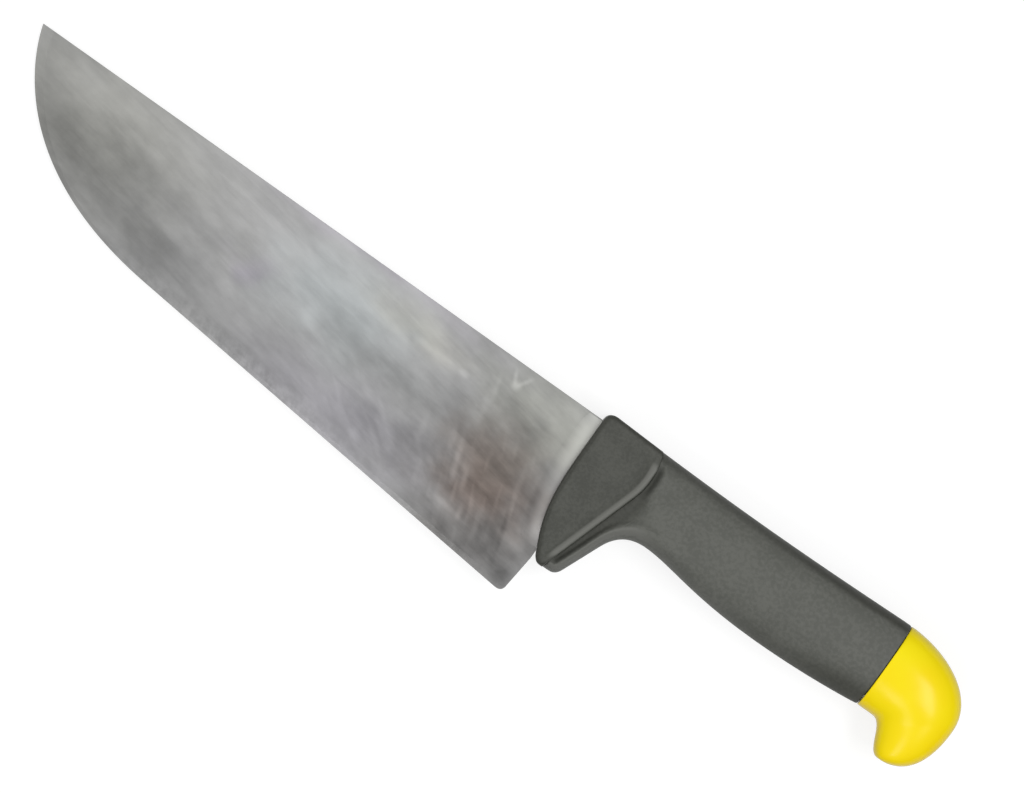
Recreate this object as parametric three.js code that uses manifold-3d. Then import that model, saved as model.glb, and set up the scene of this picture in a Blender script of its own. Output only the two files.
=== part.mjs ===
// Butcher knife: a wide steel blade whose hidden tang is riveted between two stiffening
// halves, with a hard bolster at the heel, a moulded grip and a hooked end cap.
//
// Millimetres. While the knife is drawn, x = 0 is the bolster's front and runs back to the
// end cap, y = 0 is the spine of the blade with the cutting edge below it, and z = 0 is the
// middle of the blade's thickness. At the end the knife is laid on z = 0, centred in x and y.

import * as THREE from "three";
import { mergeVertices } from "three/addons/utils/BufferGeometryUtils.js";
import Module from "manifold-3d";

const wasm = await Module();
wasm.setup();

// Blade
const BLADE_LENGTH = 220; // tip to bolster, along the spine
const BLADE_HEIGHT = 63.4; // spine to edge at the bolster
const EDGE_SLOPE = 0.099; // how fast the straight edge rises towards the tip
const BELLY_LENGTH = 74; // the curved part of the edge, at the tip
const BELLY_REACH = 58; // how far the edge keeps its straight course into the curve
const TIP_ANGLE = 74; // degrees between spine and edge at the tip
const TIP_REACH = 9; // how far the edge keeps that angle
const SPINE_THICKNESS = 3.4; // at the bolster
const HEEL_THICKNESS = 0.9; // above the sharpened bevel, at the heel
const BELLY_THICKNESS = 0.55; // above the sharpened bevel, where the edge begins to curve
const EDGE_LAND = 0.1; // flat left on the cutting edge
const SHARPENING = 13; // degrees on each side
const HEEL_BACK = 5.4; // how far the heel reaches behind the bolster's front
const HEEL_LEAN = 1.2; // how much further it reaches at the guard's foot
const HEEL_RADIUS = 3;
const SHOULDER = 0.8; // full-thickness strip left in front of the bolster

// Tang and the rivets through it
const TANG_LENGTH = 102; // bolster's front to the tang's end
const TANG_TOP = 4; // spine to the tang's upper side
const TANG_HEIGHT = 16; // at the heel
const TANG_END_HEIGHT = 12;
const RIVET_DIAMETER = 4;
const RIVET_HEAD = 7; // diameter of a head
const RIVET_HEAD_HEIGHT = 1.2;
const RIVET_NAMES = ["rivet_front", "rivet_middle", "rivet_rear"];

// Bolster and guard
const BOLSTER_THICKNESS = 22.8;
const BOLSTER_ROUNDING = 1.2; // along every edge
const GUARD_DEPTH = 49.5; // spine to the guard's foot
const GUARD_FRONT = 8.2; // bolster's front to the guard's foot
const FRONT_STRAIGHT = 14; // spine to where the front begins to curve back
const SLANT_TOP = 42; // spine to where the front turns into a straight slant
const SLANT_BACK = 4.5; // bolster's front to the top of that slant
const LIP_TOP = 21.4; // bolster's front to the lip, at the handle's back
const LIP_BEND = 14.4; // spine to where the lip turns straight
const LIP_BACK = 22.4; // bolster's front to the lip, at that bend
const LIP_FOOT = 11; // bolster's front to the lip, at the guard's foot

// Grip
const GRIP_LENGTH = 118.8; // bolster's front to the cap
const BACK_RISE = 3.4; // handle's back above the spine
const BACK_SAG = 1.15; // how far the back dips in the middle
const GUARD_HEEL = 16; // bolster's front to the rear corner of the guard's foot
const GUARD_ROUND = 2.6; // rounding of that corner
const GUARD_REAR = 15.8; // height of the guard's straight rear above the foot
const GUARD_LEAN = 0.42; // how far that rear leans back for its height
const HOLLOW_AT = 35; // bolster's front to the bottom of the finger hollow
const HOLLOW_DEPTH = 25.5; // spine to the hollow
const BELLY_AT = 80; // bolster's front to the fullest part of the grip
const BELLY_DEPTH = 29.6; // spine to the underside there
const SEAM_DEPTH = 27.2; // spine to the underside at the cap
const WAIST_THICKNESS = 19.6; // behind the lip
const SWELL_THICKNESS = 22.4; // at the fullest part
const SEAM_THICKNESS = 20.4; // at the cap
const GUARD_SQUARENESS = 5; // section of the grip at the guard: higher is squarer
const GRIP_SQUARENESS = 2.7; // section of the grip further back

// End cap
const CAP_LENGTH = 30.5; // cap's front to its rear end
const CAP_END_DEPTH = 16.5; // spine to the rearmost point
const CAP_THICKNESS = 21.6; // at its fullest
const HOOK_DEPTH = 37.6; // spine to the hook's tip
const HOOK_AT = 15.4; // cap's front to the hook's tip
const HOOK_ROOT = 6; // cap's front to where the hook leaves the underside
const HOOK_THICKNESS = 9; // at the tip

// Core halves
const CORE_SETBACK = 4.5; // lip to the front of the core
const CORE_TOP = 2.4; // spine to the core's upper side
const CORE_HEIGHT = 19;
const CORE_THICKNESS = 11.4; // both halves and the tang between them
const SPIGOT_LENGTH = 14; // part of the core inside the cap
const BARB_LENGTH = 4; // snap barb at the end of the spigot
const BARB_HEIGHT = 0.8;

const FIT = 0.3; // clearance between neighbours
const AROUND = 32; // points around a section
const STEPS = 10; // points along each curve
const REACH = 60; // how far a cutting body runs past what it cuts

// A closed body from a geometry, and back to a mesh that carries the node's name.
function solid(geometry) {
  const bare = new THREE.BufferGeometry();
  bare.setAttribute("position", geometry.getAttribute("position"));
  bare.setIndex(geometry.getIndex());
  const merged = mergeVertices(bare, 1e-5);
  return new wasm.Manifold(new wasm.Mesh({
    numProp: 3,
    vertProperties: new Float32Array(merged.getAttribute("position").array),
    triVerts: new Uint32Array(merged.getIndex().array),
  }));
}

function node(name, body, material) {
  const { vertProperties, triVerts } = body.getMesh();
  const geometry = new THREE.BufferGeometry();
  geometry.setAttribute("position", new THREE.BufferAttribute(vertProperties, 3));
  geometry.setIndex(new THREE.BufferAttribute(triVerts, 1));
  geometry.computeVertexNormals();
  const mesh = new THREE.Mesh(geometry, material);
  mesh.name = name;
  return mesh;
}

// A plate of a shape, between two heights.
function plate(shape, low, high, curveSegments = STEPS) {
  const geometry = new THREE.ExtrudeGeometry(shape, {
    depth: high - low,
    bevelEnabled: false,
    curveSegments,
  });
  return solid(geometry.translate(0, 0, low));
}

// A plate about z = 0 whose outline is drawn in by `inset` at both faces.
function roundedPlate(shape, thickness, inset, rise, segments) {
  const geometry = new THREE.ExtrudeGeometry(shape, {
    depth: thickness - 2 * rise,
    bevelSize: inset,
    bevelOffset: -inset,
    bevelThickness: rise,
    bevelSegments: segments,
    curveSegments: STEPS,
  });
  return solid(geometry.translate(0, 0, rise - thickness / 2));
}

// One ring of points between an upper and a lower point of the outline, as thick as given.
function section(upper, lower, thickness, squareness) {
  const middle = upper.clone().add(lower).multiplyScalar(0.5);
  const half = upper.clone().sub(middle);
  const soft = (value) => Math.sign(value) * Math.abs(value) ** (2 / squareness);
  return Array.from({ length: AROUND }, (_, i) => {
    const angle = (2 * Math.PI * i) / AROUND;
    const along = half.clone().multiplyScalar(soft(Math.cos(angle))).add(middle);
    return new THREE.Vector3(along.x, along.y, (thickness / 2) * soft(Math.sin(angle)));
  });
}

// A closed body through rings that all have the same number of points.
function loft(rings) {
  const middleOf = (ring) => ring
    .reduce((sum, point) => sum.add(point), new THREE.Vector3())
    .divideScalar(ring.length);
  const points = [...rings.flat(), middleOf(rings[0]), middleOf(rings.at(-1))];
  const first = points.length - 2;
  const last = points.length - 1;
  const lastRing = (rings.length - 1) * AROUND;
  const faces = [];
  for (let i = 0; i < AROUND; i += 1) {
    const next = (i + 1) % AROUND;
    for (let ring = 0; ring < lastRing; ring += AROUND) {
      faces.push(ring + i, ring + next, ring + AROUND + next);
      faces.push(ring + i, ring + AROUND + next, ring + AROUND + i);
    }
    faces.push(first, next, i);
    faces.push(last, lastRing + i, lastRing + next);
  }
  const geometry = new THREE.BufferGeometry().setFromPoints(points);
  return solid(geometry.setIndex(faces));
}

// Shared outlines

const at = (x, y) => new THREE.Vector2(x, y);
const gripBack = (x) => BACK_RISE - BACK_SAG * Math.sin((Math.PI * x) / GRIP_LENGTH);
const lipTop = gripBack(LIP_TOP);

// The front of the bolster, drawn from the spine to the guard's foot and moved forward by a gap.
function front(gap) {
  const down = (share) => -THREE.MathUtils.lerp(FRONT_STRAIGHT, SLANT_TOP, share);
  const curve = new THREE.CubicBezierCurve(
    at(-gap, down(0)),
    at(-gap, down(0.57)),
    at(SLANT_BACK / 2 - gap, down(0.8)),
    at(SLANT_BACK - gap, down(1)),
  );
  return [at(-gap, 0), ...curve.getPoints(STEPS), at(GUARD_FRONT - gap, -GUARD_DEPTH)];
}

// The rear face of the bolster, drawn from the handle's back to the guard's foot and moved
// back by a clearance. It runs on past both ends.
function lip(gap) {
  const lean = (LIP_BACK - LIP_FOOT) / (GUARD_DEPTH - LIP_BEND);
  const bend = (LIP_BEND - lipTop) / 2;
  const curve = new THREE.QuadraticBezierCurve(
    at(LIP_TOP + gap, lipTop),
    at(LIP_BACK + lean * (LIP_BEND - bend) + gap, -bend),
    at(LIP_BACK + gap, -LIP_BEND),
  );
  return [...curve.getPoints(STEPS), at(LIP_FOOT + gap, -GUARD_DEPTH)];
}

const lipBack = Math.max(...lip(0).map((point) => point.x));
const coreFront = lipBack + CORE_SETBACK;
const coreEnd = GRIP_LENGTH + SPIGOT_LENGTH;
const rivetPlaces = RIVET_NAMES.map((name, i) => {
  const margin = 2 * RIVET_HEAD;
  const share = i / (RIVET_NAMES.length - 1);
  return THREE.MathUtils.lerp(coreFront + margin, TANG_LENGTH - margin, share);
});
const rivetY = -(TANG_TOP + TANG_HEIGHT / 2);

function punch(shape, radius) {
  for (const x of rivetPlaces) {
    const hole = new THREE.Path();
    hole.absarc(x, rivetY, radius, 0, 2 * Math.PI);
    shape.holes.push(hole);
  }
  return shape;
}

// The tang seen from the side, grown by a clearance.
function tangShape(grow) {
  const drop = (TANG_HEIGHT - TANG_END_HEIGHT) / 2;
  const top = -TANG_TOP + grow;
  const foot = -TANG_TOP - TANG_HEIGHT - grow;
  const end = TANG_LENGTH + grow;
  const shape = new THREE.Shape();
  shape.moveTo(HEEL_BACK / 2, top);
  shape.lineTo(HEEL_BACK / 2, foot);
  shape.lineTo(end - TANG_END_HEIGHT / 2, foot + drop);
  shape.quadraticCurveTo(end, foot + drop, end, (top + foot) / 2);
  shape.quadraticCurveTo(end, top - drop, end - TANG_END_HEIGHT / 2, top - drop);
  return shape;
}

// Half of the core seen from the side, grown by a clearance, with a snap barb above and
// below at its rear end.
function coreShape(grow) {
  const top = -CORE_TOP + grow;
  const foot = -CORE_TOP - CORE_HEIGHT - grow;
  const barb = coreEnd - BARB_LENGTH - grow;
  const shape = new THREE.Shape();
  shape.moveTo(coreFront - grow, top);
  shape.lineTo(coreFront - grow, foot);
  shape.lineTo(barb, foot);
  shape.lineTo(barb, foot - BARB_HEIGHT);
  shape.lineTo(coreEnd + grow, foot);
  shape.lineTo(coreEnd + grow, top);
  shape.lineTo(barb, top + BARB_HEIGHT);
  shape.lineTo(barb, top);
  return shape;
}

// Blade: the outline cut from plate, ground flat to a wedge on both sides, sharpened along
// the edge, with the punched tang left at full thickness.
function blade() {
  const edgeY = (x) => -BLADE_HEIGHT - EDGE_SLOPE * x;
  const bellyX = BELLY_LENGTH - BLADE_LENGTH;
  const tipAngle = THREE.MathUtils.degToRad(TIP_ANGLE);
  const tipCourse = at(Math.cos(tipAngle), -Math.sin(tipAngle));
  const tip = at(-BLADE_LENGTH, 0);
  const nearTip = tip.clone().addScaledVector(tipCourse, TIP_REACH);
  const drawBelly = (shape) => shape.bezierCurveTo(
    nearTip.x, nearTip.y,
    bellyX - BELLY_REACH, edgeY(bellyX - BELLY_REACH),
    bellyX, edgeY(bellyX),
  );

  const outline = new THREE.Shape();
  outline.moveTo(tip.x, tip.y);
  drawBelly(outline);
  outline.lineTo(HEEL_BACK - HEEL_RADIUS, edgeY(HEEL_BACK - HEEL_RADIUS));
  outline.quadraticCurveTo(
    HEEL_BACK, edgeY(HEEL_BACK),
    HEEL_BACK, edgeY(HEEL_BACK) + HEEL_RADIUS,
  );
  outline.lineTo(HEEL_BACK + HEEL_LEAN, -GUARD_DEPTH);
  outline.lineTo(HEEL_BACK + HEEL_LEAN, 0);

  const before = tip.clone().addScaledVector(tipCourse, -REACH);
  const edge = new THREE.Shape();
  edge.moveTo(before.x, before.y);
  edge.lineTo(tip.x, tip.y);
  drawBelly(edge);
  edge.lineTo(REACH, edgeY(REACH));
  edge.lineTo(REACH, before.y);

  const thick = SPINE_THICKNESS / 2;
  const perY = (SPINE_THICKNESS - HEEL_THICKNESS) / 2 / BLADE_HEIGHT;
  const perX = (thick + perY * edgeY(bellyX) - BELLY_THICKNESS / 2) / -bellyX;
  const wedge = new THREE.BoxGeometry(BLADE_LENGTH + REACH, BLADE_HEIGHT + REACH, 2);
  wedge.translate((REACH - BLADE_LENGTH) / 2, (REACH - BLADE_HEIGHT) / 2 - REACH / 2, 0);
  const corners = wedge.getAttribute("position");
  for (let i = 0; i < corners.count; i += 1) {
    const side = Math.sign(corners.getZ(i));
    corners.setZ(i, side * (thick + perX * corners.getX(i) + perY * corners.getY(i)));
  }

  const grind = thick - EDGE_LAND / 2;
  const sharpened = roundedPlate(
    edge,
    SPINE_THICKNESS,
    grind / Math.tan(THREE.MathUtils.degToRad(SHARPENING)),
    grind,
    1,
  );
  const shoulder = new THREE.Shape([...front(SHOULDER), at(REACH, -GUARD_DEPTH), at(REACH, 0)]);
  const tang = plate(punch(tangShape(0), RIVET_DIAMETER / 2 + FIT), -thick, thick);
  const blank = plate(outline, -thick, thick);
  return blank
    .intersect(solid(wedge))
    .intersect(sharpened)
    .add(plate(shoulder, -thick, thick).intersect(blank))
    .add(tang);
}

// Bolster: a flat-sided block around the blade's heel, slotted for the blade and the tang.
function bolster() {
  const shape = new THREE.Shape();
  shape.moveTo(0, 0);
  shape.quadraticCurveTo(0, BACK_RISE, BACK_RISE, BACK_RISE);
  for (const point of lip(0)) {
    shape.lineTo(point.x, point.y);
  }
  const slant = front(0).reverse();
  shape.lineTo(THREE.MathUtils.lerp(GUARD_FRONT, LIP_FOOT, 0.3), -GUARD_DEPTH);
  const chamfer = slant[0].clone().lerp(slant[1], 0.15);
  for (const point of [chamfer, ...slant.slice(1)]) {
    shape.lineTo(point.x, point.y);
  }

  const slot = SPINE_THICKNESS / 2 + FIT;
  const heelSlot = new THREE.Shape();
  heelSlot.moveTo(-REACH, FIT);
  heelSlot.lineTo(HEEL_BACK + HEEL_LEAN + FIT, FIT);
  heelSlot.lineTo(HEEL_BACK + HEEL_LEAN + FIT, -GUARD_DEPTH - REACH);
  heelSlot.lineTo(-REACH, -GUARD_DEPTH - REACH);
  return roundedPlate(shape, BOLSTER_THICKNESS, BOLSTER_ROUNDING, BOLSTER_ROUNDING, 3)
    .subtract(plate(heelSlot, -slot, slot))
    .subtract(plate(tangShape(FIT), -slot, slot));
}

// Grip: rings from the guard's foot to the cap, cut to the bolster's lip and hollowed for
// the core and the tang.
function grip() {
  const rear = (height) => at(GUARD_HEEL + GUARD_LEAN * height, height - GUARD_DEPTH);
  const turned = rear(GUARD_ROUND);
  const straight = rear(GUARD_REAR);
  const towards = rear(THREE.MathUtils.lerp(GUARD_REAR, GUARD_DEPTH - HOLLOW_DEPTH, 0.7));
  const underside = new THREE.Path();
  underside.moveTo(LIP_FOOT, -GUARD_DEPTH);
  underside.lineTo(GUARD_HEEL - GUARD_ROUND, -GUARD_DEPTH);
  underside.quadraticCurveTo(GUARD_HEEL, -GUARD_DEPTH, turned.x, turned.y);
  underside.lineTo(straight.x, straight.y);
  underside.bezierCurveTo(
    towards.x, towards.y,
    THREE.MathUtils.lerp(straight.x, HOLLOW_AT, 0.52), -HOLLOW_DEPTH,
    HOLLOW_AT, -HOLLOW_DEPTH,
  );
  underside.bezierCurveTo(
    THREE.MathUtils.lerp(HOLLOW_AT, BELLY_AT, 0.22), -HOLLOW_DEPTH,
    THREE.MathUtils.lerp(HOLLOW_AT, BELLY_AT, 0.45), -BELLY_DEPTH,
    BELLY_AT, -BELLY_DEPTH,
  );
  underside.quadraticCurveTo(
    (BELLY_AT + GRIP_LENGTH) / 2, -BELLY_DEPTH,
    GRIP_LENGTH, -SEAM_DEPTH,
  );

  const rings = underside.getPoints(STEPS).map((lower) => {
    const toWaist = THREE.MathUtils.smoothstep(lower.x, GUARD_HEEL, HOLLOW_AT);
    const toSwell = THREE.MathUtils.smoothstep(lower.x, lipBack, BELLY_AT);
    const toSeam = THREE.MathUtils.smoothstep(lower.x, BELLY_AT, GRIP_LENGTH);
    const full = THREE.MathUtils.lerp(WAIST_THICKNESS, SWELL_THICKNESS, toSwell);
    return section(
      at(lower.x, gripBack(lower.x)),
      lower,
      THREE.MathUtils.lerp(full, SEAM_THICKNESS, toSeam),
      THREE.MathUtils.lerp(GUARD_SQUARENESS, GRIP_SQUARENESS, toWaist),
    );
  });

  const start = lip(FIT);
  const ahead = new THREE.Shape([
    at(-REACH, REACH),
    at(start[0].x, REACH),
    ...start,
    at(start.at(-1).x, -GUARD_DEPTH - REACH),
    at(-REACH, -GUARD_DEPTH - REACH),
  ]);
  const slot = SPINE_THICKNESS / 2 + FIT;
  const cavity = CORE_THICKNESS / 2 + FIT;
  return loft(rings)
    .subtract(plate(ahead, -REACH, REACH))
    .subtract(plate(tangShape(FIT), -slot, slot))
    .subtract(plate(coreShape(FIT), -cavity, cavity));
}

// End cap: rings that turn from the seam round to the tip of the hook, hollowed for the
// spigot of the core.
function endCap() {
  const seam = GRIP_LENGTH + FIT;
  const end = GRIP_LENGTH + CAP_LENGTH;
  const hook = at(seam + HOOK_AT, -HOOK_DEPTH);
  const outer = new THREE.Path();
  outer.moveTo(seam, gripBack(GRIP_LENGTH));
  outer.bezierCurveTo(
    seam + CAP_LENGTH / 2, gripBack(GRIP_LENGTH),
    end, -CAP_END_DEPTH / 4,
    end, -CAP_END_DEPTH,
  );
  outer.bezierCurveTo(
    end, -THREE.MathUtils.lerp(CAP_END_DEPTH, HOOK_DEPTH, 0.62),
    THREE.MathUtils.lerp(hook.x, end, 0.67), -HOOK_DEPTH,
    hook.x, hook.y,
  );
  const inner = new THREE.Path();
  inner.moveTo(seam, -SEAM_DEPTH);
  inner.lineTo(seam + HOOK_ROOT, -SEAM_DEPTH);
  inner.bezierCurveTo(
    seam + (HOOK_ROOT + HOOK_AT) / 2, -SEAM_DEPTH,
    seam + (HOOK_ROOT + HOOK_AT) / 2, -HOOK_DEPTH,
    hook.x, hook.y,
  );

  const outside = outer.getSpacedPoints(2 * STEPS);
  const inside = inner.getSpacedPoints(2 * STEPS);
  const rings = outside.slice(0, -1).map((upper, i) => {
    const way = i / (2 * STEPS);
    const swell = Math.sin(Math.PI * Math.min(1, 2 * way));
    const seamToHook = THREE.MathUtils.lerp(SEAM_THICKNESS, HOOK_THICKNESS, way ** 2);
    const thickness = seamToHook + (CAP_THICKNESS - SEAM_THICKNESS) * swell;
    return section(upper, inside[i], thickness, GRIP_SQUARENESS);
  });
  const cavity = CORE_THICKNESS / 2 + FIT;
  return loft(rings).subtract(plate(coreShape(FIT), -cavity, cavity));
}

// Core: a half on each side of the tang, punched for the rivets and counterbored for
// their heads.
function coreHalf(side) {
  const inner = SPINE_THICKNESS / 2 + FIT;
  const outer = CORE_THICKNESS / 2;
  const low = Math.min(side * inner, side * outer);
  const high = Math.max(side * inner, side * outer);
  const half = plate(punch(coreShape(0), RIVET_DIAMETER / 2 + FIT), low, high);
  return rivetPlaces.reduce((body, x) => {
    const bore = new THREE.Shape();
    bore.absarc(x, rivetY, RIVET_HEAD / 2 + FIT, 0, 2 * Math.PI);
    const floor = side * (outer - RIVET_HEAD_HEIGHT - FIT);
    const past = side * (outer + REACH);
    return body.subtract(plate(bore, Math.min(floor, past), Math.max(floor, past)));
  }, half);
}

// Rivet: turned about its length, with a flat head at each end.
function rivet(x) {
  const end = CORE_THICKNESS / 2;
  const neck = end - RIVET_HEAD_HEIGHT;
  const profile = [
    at(0, -end),
    at(RIVET_HEAD / 2, -end),
    at(RIVET_HEAD / 2, -neck),
    at(RIVET_DIAMETER / 2, -neck),
    at(RIVET_DIAMETER / 2, neck),
    at(RIVET_HEAD / 2, neck),
    at(RIVET_HEAD / 2, end),
    at(0, end),
  ];
  const geometry = new THREE.LatheGeometry(profile, AROUND / 2);
  return solid(geometry.rotateX(Math.PI / 2).translate(x, rivetY, 0));
}

const steel = new THREE.MeshStandardMaterial({ color: 0xb4b6b4, metalness: 1, roughness: 0.4 });
const hardGrey = new THREE.MeshStandardMaterial({ color: 0x5a5b56, roughness: 0.6 });
const softGrey = new THREE.MeshStandardMaterial({ color: 0x686963, roughness: 0.7 });
const coreGrey = new THREE.MeshStandardMaterial({ color: 0x8a8a88, roughness: 0.6 });
const yellow = new THREE.MeshStandardMaterial({ color: 0xfbdc12, roughness: 0.25 });

const knife = new THREE.Group();
knife.name = "butcher_knife";
knife.add(
  node("blade", blade(), steel),
  node("bolster", bolster(), hardGrey),
  node("core_left", coreHalf(1), coreGrey),
  node("core_right", coreHalf(-1), coreGrey),
  ...RIVET_NAMES.map((name, i) => node(name, rivet(rivetPlaces[i]), steel)),
  node("grip", grip(), softGrey),
  node("end_cap", endCap(), yellow),
);

const box = new THREE.Box3().setFromObject(knife);
const centre = box.getCenter(new THREE.Vector3());
for (const mesh of knife.children) {
  mesh.geometry.translate(-centre.x, -centre.y, -box.min.z);
}

export default knife;
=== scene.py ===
import math

import bmesh
import bpy
from mathutils import Matrix, Vector, geometry


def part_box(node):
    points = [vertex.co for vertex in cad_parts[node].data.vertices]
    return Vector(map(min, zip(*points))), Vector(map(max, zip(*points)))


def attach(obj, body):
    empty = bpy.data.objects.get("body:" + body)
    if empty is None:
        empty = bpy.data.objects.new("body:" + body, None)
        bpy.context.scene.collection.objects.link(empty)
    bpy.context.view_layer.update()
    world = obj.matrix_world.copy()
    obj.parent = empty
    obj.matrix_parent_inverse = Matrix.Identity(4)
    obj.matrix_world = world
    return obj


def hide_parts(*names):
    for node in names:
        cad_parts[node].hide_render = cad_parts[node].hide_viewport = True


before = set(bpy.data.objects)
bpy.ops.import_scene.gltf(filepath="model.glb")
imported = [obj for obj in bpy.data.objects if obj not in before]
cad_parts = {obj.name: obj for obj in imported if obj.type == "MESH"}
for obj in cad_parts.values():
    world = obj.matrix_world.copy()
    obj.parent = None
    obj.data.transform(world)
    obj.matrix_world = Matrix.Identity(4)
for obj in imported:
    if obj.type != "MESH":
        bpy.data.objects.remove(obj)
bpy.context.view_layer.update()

# Blade: one stainless blank, ground flat to a wedge on both sides and sharpened along the
# edge. A low ramp is left in front of the bolster, and the tang behind it is punched for the
# rivets that hold it inside the handle.
mm = 0.001
blade_low, blade_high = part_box("blade")
bolster_low, bolster_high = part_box("bolster")
bolster_front = bolster_low.x
spine = blade_high.y
middle = (blade_low.z + blade_high.z) / 2
blade_length = (bolster_front - blade_low.x) / mm
tang_length = (blade_high.x - bolster_front) / mm
half_spine = (blade_high.z - blade_low.z) / 2 / mm
guard_depth = (spine - bolster_low.y) / mm
heel_depth = 63.4
heel_back = 5.4
heel_lean = 1.2
heel_radius = 3
heel_edge_half = 0.45
rear_x = heel_back + heel_lean
belly_x = 74 - blade_length
belly_pull = 58
belly_edge_half = 0.275
tip_pull = 9
tip_angle = math.radians(74)
edge_slope = 0.099
edge_land = 0.05
bevel_rise = math.tan(math.radians(13))
spine_round = 0.15
weld = 0.002 * mm


def place(x, y, z=0.0):
    """A point in millimetres behind the bolster's front, above the spine and off the middle."""
    return Vector((bolster_front + x * mm, spine + y * mm, z * mm))


def flat(x, y):
    return Vector((x, y, 0))


def spot_of(vert):
    """Where a vertex lies in the flat of the knife, in the millimetres that place takes."""
    return (vert.co.x - bolster_front) / mm, (vert.co.y - spine) / mm


def mix(a, b, share):
    return a + (b - a) * share


def smooth(value, start, end):
    share = min(max((value - start) / (end - start), 0), 1)
    return share * share * (3 - 2 * share)


def x_on(line, y):
    """Where a line of points that runs downwards is at a height."""
    for a, b in zip(line, line[1:]):
        if y >= b.y and a.y > b.y:
            return mix(a.x, b.x, (a.y - y) / (a.y - b.y))
    return line[-1].x


def gap_to(line, x, y):
    """The distance from a point to a line of points."""
    spot = flat(x, y)
    gaps = []
    for a, b in zip(line, line[1:]):
        near, share = geometry.intersect_point_line(spot, a, b)
        near = a if share < 0 else b if share > 1 else near
        gaps.append((spot - near).length)
    return min(gaps)


def edge_y(x):
    return -heel_depth - edge_slope * x


wedge_y = (half_spine - heel_edge_half) / heel_depth
wedge_x = (half_spine + wedge_y * edge_y(belly_x) - belly_edge_half) / -belly_x


def wedge(x, y):
    """Half the thickness that the grinding leaves."""
    return min(half_spine + wedge_x * x + wedge_y * y, half_spine)


tip = flat(-blade_length, 0)
tip_course = flat(math.cos(tip_angle), -math.sin(tip_angle))
belly = geometry.interpolate_bezier(
    flat(belly_x, edge_y(belly_x)),
    flat(belly_x - belly_pull, edge_y(belly_x - belly_pull)),
    tip + tip_pull * tip_course,
    tip,
    56,
)
heel_corner = flat(heel_back, edge_y(heel_back))
heel_turn = flat(heel_back - heel_radius, edge_y(heel_back - heel_radius))
heel = geometry.interpolate_bezier(
    heel_corner + flat(0, heel_radius),
    heel_corner + flat(0, heel_radius / 3),
    heel_corner.lerp(heel_turn, 1 / 3),
    heel_turn,
    8,
)
rear = [flat(rear_x, -guard_depth).lerp(heel[0], i / 6) for i in range(6)]
straight = [heel_turn.lerp(belly[0], i / 24) for i in range(1, 24)]
edge = rear + heel + straight + belly
rear_line = [flat(rear_x, 0)] + rear + [heel[0], heel_corner]

edge_row = []
shoulder_row = []
spine_row = []
across = flat(edge_slope, 1).normalized()
for i, point in enumerate(edge):
    if i < len(rear + heel):
        lift = (point.y - edge_y(point.x)) * across.y
        inward = across
    else:
        lift = 0
        along = edge[min(i + 1, len(edge) - 1)] - edge[i - 1]
        inward = flat(along.y, -along.x).normalized()
    ground = wedge(point.x, point.y)
    edge_half = edge_land + lift * bevel_rise
    gain = bevel_rise - wedge_x * inward.x - wedge_y * inward.y
    width = min(max((ground - edge_half) / gain, 0), -point.y / inward.y)
    shoulder = point + width * inward
    shoulder.x = min(shoulder.x, x_on(rear_line, shoulder.y))
    shoulder_half = min(edge_half + width * bevel_rise, wedge(shoulder.x, shoulder.y))
    at_spine = shoulder.y > -1e-4
    spine_half = shoulder_half if at_spine else wedge(shoulder.x, 0)
    edge_row.append(place(point.x, point.y, min(edge_half, ground)))
    shoulder_row.append(place(shoulder.x, shoulder.y, shoulder_half))
    spine_row.append(place(shoulder.x, 0, spine_half))

steel = bmesh.new()
steel.verts.layers.int.new("station")
edge_gap = steel.verts.layers.float.new("edge_gap")
painted_highlight = steel.verts.layers.float.new("painted_highlight")


def first_row(mesh, points):
    """A row of edges through points, whose vertices know their station in it."""
    station = mesh.verts.layers.int["station"]
    verts = [mesh.verts.new(point) for point in points]
    for i, vert in enumerate(verts):
        vert[station] = i
    return [mesh.edges.new(pair) for pair in zip(verts, verts[1:])]


def draw_out(mesh, row):
    """The vertices, faces and edges of the next row that a row of edges is drawn out to."""
    grown = bmesh.ops.extrude_edge_only(mesh, edges=row)["geom"]
    verts = {item for item in grown if isinstance(item, bmesh.types.BMVert)}
    faces = [item for item in grown if isinstance(item, bmesh.types.BMFace)]
    edges = [
        item for item in grown
        if isinstance(item, bmesh.types.BMEdge) and verts.issuperset(item.verts)
    ]
    return verts, faces, edges


def open_edges(mesh):
    return [item for item in mesh.edges if item.is_boundary]


def add_plate(mesh, rows, finishes):
    """A plate whose one side is drawn out row by row, then mirrored and closed round the rim."""
    station = mesh.verts.layers.int["station"]
    row = first_row(mesh, rows[0])
    side = []
    for points, finish in zip(rows[1:], finishes):
        verts, faces, row = draw_out(mesh, row)
        for vert in verts:
            vert.co = points[vert[station]]
        for face in faces:
            face.material_index = finish
        side += faces
    verts = list({vert for face in side for vert in face.verts})
    bmesh.ops.remove_doubles(mesh, verts=verts, dist=weld)
    side = [face for face in side if face.is_valid]
    parts = list({part for face in side for part in face.verts[:] + face.edges[:]})
    bmesh.ops.mirror(mesh, geom=parts + side, axis="Z", merge_dist=0)
    bmesh.ops.bridge_loops(mesh, edges=open_edges(mesh))


honed, satin = 1, 0
add_plate(steel, [edge_row, shoulder_row, spine_row], [honed, satin])
bmesh.ops.recalc_face_normals(steel, faces=steel.faces)
spine_edges = [
    item for item in steel.edges
    if all(vert.co.y > spine - weld / 2 for vert in item.verts)
    and abs(item.verts[0].co.z - item.verts[1].co.z) < 0.2 * mm
    and item.calc_face_angle(0) > 1
]
bmesh.ops.bevel(
    steel, geom=spine_edges, offset=spine_round * mm, segments=3, profile=0.5,
    affect="EDGES", material=-1,
)

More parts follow.
